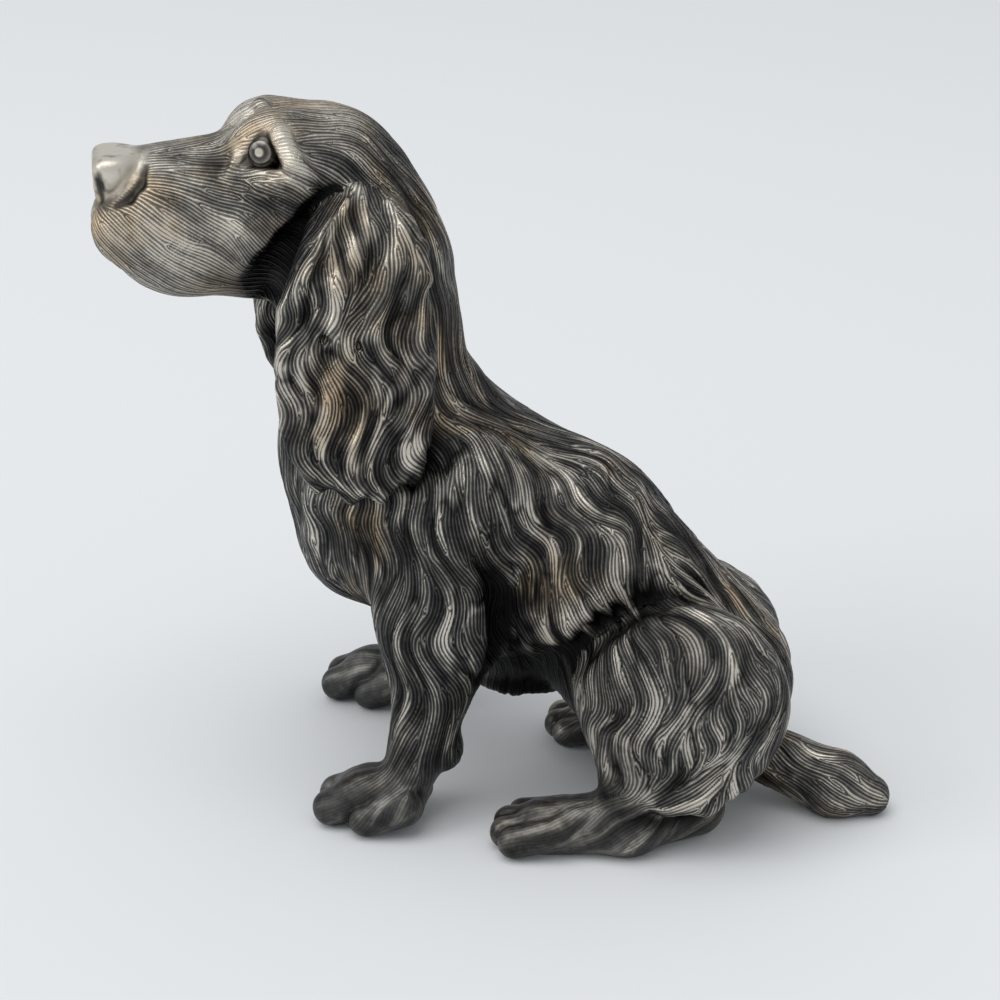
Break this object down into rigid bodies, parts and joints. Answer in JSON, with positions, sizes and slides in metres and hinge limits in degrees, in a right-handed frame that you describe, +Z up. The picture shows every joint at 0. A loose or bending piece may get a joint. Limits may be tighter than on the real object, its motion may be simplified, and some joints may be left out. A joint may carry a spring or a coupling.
{
  "type": "dog figurine",
  "caption": "Seated long-eared dog figurine, hollow metal casting with a wavy chased coat, blackened and rubbed to a silver finish; it stands on its flat paws.",
  "frame": {"origin": "centre of the bounding box at the level of the paw soles", "axes": "+Z up; the dog faces -X, its left side is -Y and its tail lies toward +X"},
  "size_m": [0.2186, 0.0934, 0.1948],
  "materials": {
    "oxidised_silver": "cast metal plated with silver, blackened in the recesses and rubbed bright on the ridges",
    "eye_bead": "polished silver-plated bead with a darkened rim",
    "bare_brass": "plain turned brass, left as cut"
  },
  "bodies": {
    "root": {"torso_left": "oxidised_silver", "torso_right": "oxidised_silver", "head_shell": "oxidised_silver", "left_ear": "oxidised_silver", "right_ear": "oxidised_silver", "left_foreleg": "oxidised_silver", "right_foreleg": "oxidised_silver", "left_hind_leg": "oxidised_silver", "right_hind_leg": "oxidised_silver", "tail": "oxidised_silver", "left_eye": "eye_bead", "right_eye": "eye_bead", "neck_sleeve": "bare_brass", "core_plate": "oxidised_silver", "neck_pin_1": "bare_brass", "neck_pin_2": "bare_brass", "neck_pin_3": "bare_brass", "neck_pin_4": "bare_brass", "seam_pin_1": "bare_brass", "seam_pin_2": "bare_brass", "seam_pin_3": "bare_brass", "seam_pin_4": "bare_brass", "left_foreleg_pin_upper": "bare_brass", "left_foreleg_pin_lower": "bare_brass", "left_hind_leg_pin_front": "bare_brass", "left_hind_leg_pin_rear": "bare_brass", "left_ear_pin_front": "bare_brass", "left_ear_pin_rear": "bare_brass", "right_foreleg_pin_upper": "bare_brass", "right_foreleg_pin_lower": "bare_brass", "right_hind_leg_pin_front": "bare_brass", "right_hind_leg_pin_rear": "bare_brass", "right_ear_pin_front": "bare_brass", "right_ear_pin_rear": "bare_brass", "tail_pin": "bare_brass"}
  },
  "joints": []
}
